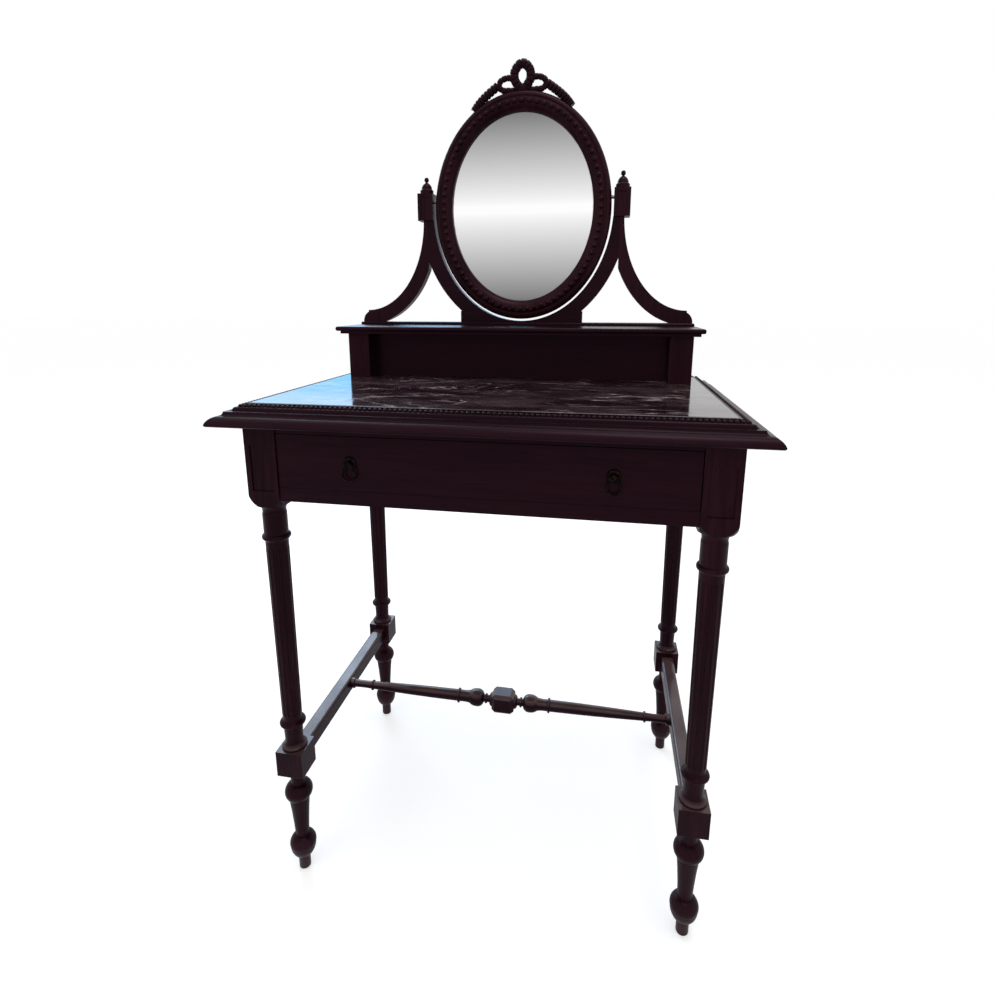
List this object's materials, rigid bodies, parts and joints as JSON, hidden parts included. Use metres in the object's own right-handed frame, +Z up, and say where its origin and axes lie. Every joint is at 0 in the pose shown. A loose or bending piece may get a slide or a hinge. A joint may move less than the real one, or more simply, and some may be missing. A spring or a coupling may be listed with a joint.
{
  "type": "dressing table",
  "caption": "Louis XVI style mahogany dressing table with a marble top, a drawer, fluted turned legs, an H stretcher, a raised shelf and a tilting oval mirror",
  "frame": {"origin": "on the floor, under the middle of the top's outline", "axes": "+X to the right as seen from the front, +Y to the back, +Z up; the drawer faces -Y"},
  "size_m": [0.684, 0.439, 1.2585],
  "materials": {
    "mahogany": "dark reddish brown, French polished",
    "secondary_wood": "plain unpolished boards",
    "marble": "polished, dark grey-brown with pale veins",
    "silvered_glass": "polished",
    "brass": "aged, darkened",
    "steel": "plain"
  },
  "bodies": {
    "table": {"leg_front_left": "mahogany", "leg_front_right": "mahogany", "leg_back_left": "mahogany", "leg_back_right": "mahogany", "side_stretcher_left": "mahogany", "side_stretcher_right": "mahogany", "centre_stretcher": "mahogany", "side_apron_left": "mahogany", "side_apron_right": "mahogany", "back_apron": "secondary_wood", "front_lower_rail": "mahogany", "front_upper_rail": "mahogany", "drawer_runner_left": "secondary_wood", "drawer_runner_right": "secondary_wood", "drawer_kicker_left": "secondary_wood", "drawer_kicker_right": "secondary_wood", "top_moulding_front": "mahogany", "top_moulding_left": "mahogany", "top_moulding_right": "mahogany", "top_rail_back": "secondary_wood", "bead_strip_front": "mahogany", "bead_strip_left": "mahogany", "bead_strip_right": "mahogany", "marble_bed": "secondary_wood", "marble_top": "marble", "shelf_pilaster_left": "mahogany", "shelf_pilaster_right": "mahogany", "shelf_side_left": "mahogany", "shelf_side_right": "mahogany", "shelf_riser": "mahogany", "shelf_back": "secondary_wood", "shelf_board": "mahogany", "mirror_base": "mahogany", "mirror_cradle": "mahogany", "scroll_bracket_left": "mahogany", "scroll_bracket_right": "mahogany", "mirror_post_left": "mahogany", "mirror_post_right": "mahogany", "finial_left": "mahogany", "finial_right": "mahogany"},
    "mirror": {"mirror_frame": "mahogany", "mirror_beads": "mahogany", "mirror_glass": "silvered_glass", "mirror_backboard": "secondary_wood", "mirror_crest": "mahogany", "pivot_pin_left": "steel", "pivot_pin_right": "steel"},
    "drawer": {"drawer_front": "mahogany", "drawer_side_left": "secondary_wood", "drawer_side_right": "secondary_wood", "drawer_back": "secondary_wood", "drawer_bottom": "secondary_wood", "pull_plate_left": "brass", "pull_plate_right": "brass", "pull_nuts": "brass"},
    "pull_left": {"pull_ring_left": "brass"},
    "pull_right": {"pull_ring_right": "brass"}
  },
  "joints": [
    {"name": "drawer_slide", "type": "slide", "parent": "table", "child": "drawer", "axis": [0, -1, 0], "range_m": [0, 0.26]},
    {"name": "mirror_tilt", "type": "hinge", "parent": "table", "child": "mirror", "pos_m": [0, 0.196, 1.043], "axis": [-1, 0, 0], "range_deg": [-20, 20]},
    {"name": "pull_left_swing", "type": "hinge", "parent": "drawer", "child": "pull_left", "pos_m": [-0.1654, -0.1908, 0.672], "axis": [-1, 0, 0], "range_deg": [0, 85]},
    {"name": "pull_right_swing", "type": "hinge", "parent": "drawer", "child": "pull_right", "pos_m": [0.1654, -0.1908, 0.672], "axis": [-1, 0, 0], "range_deg": [0, 85]}
  ]
}
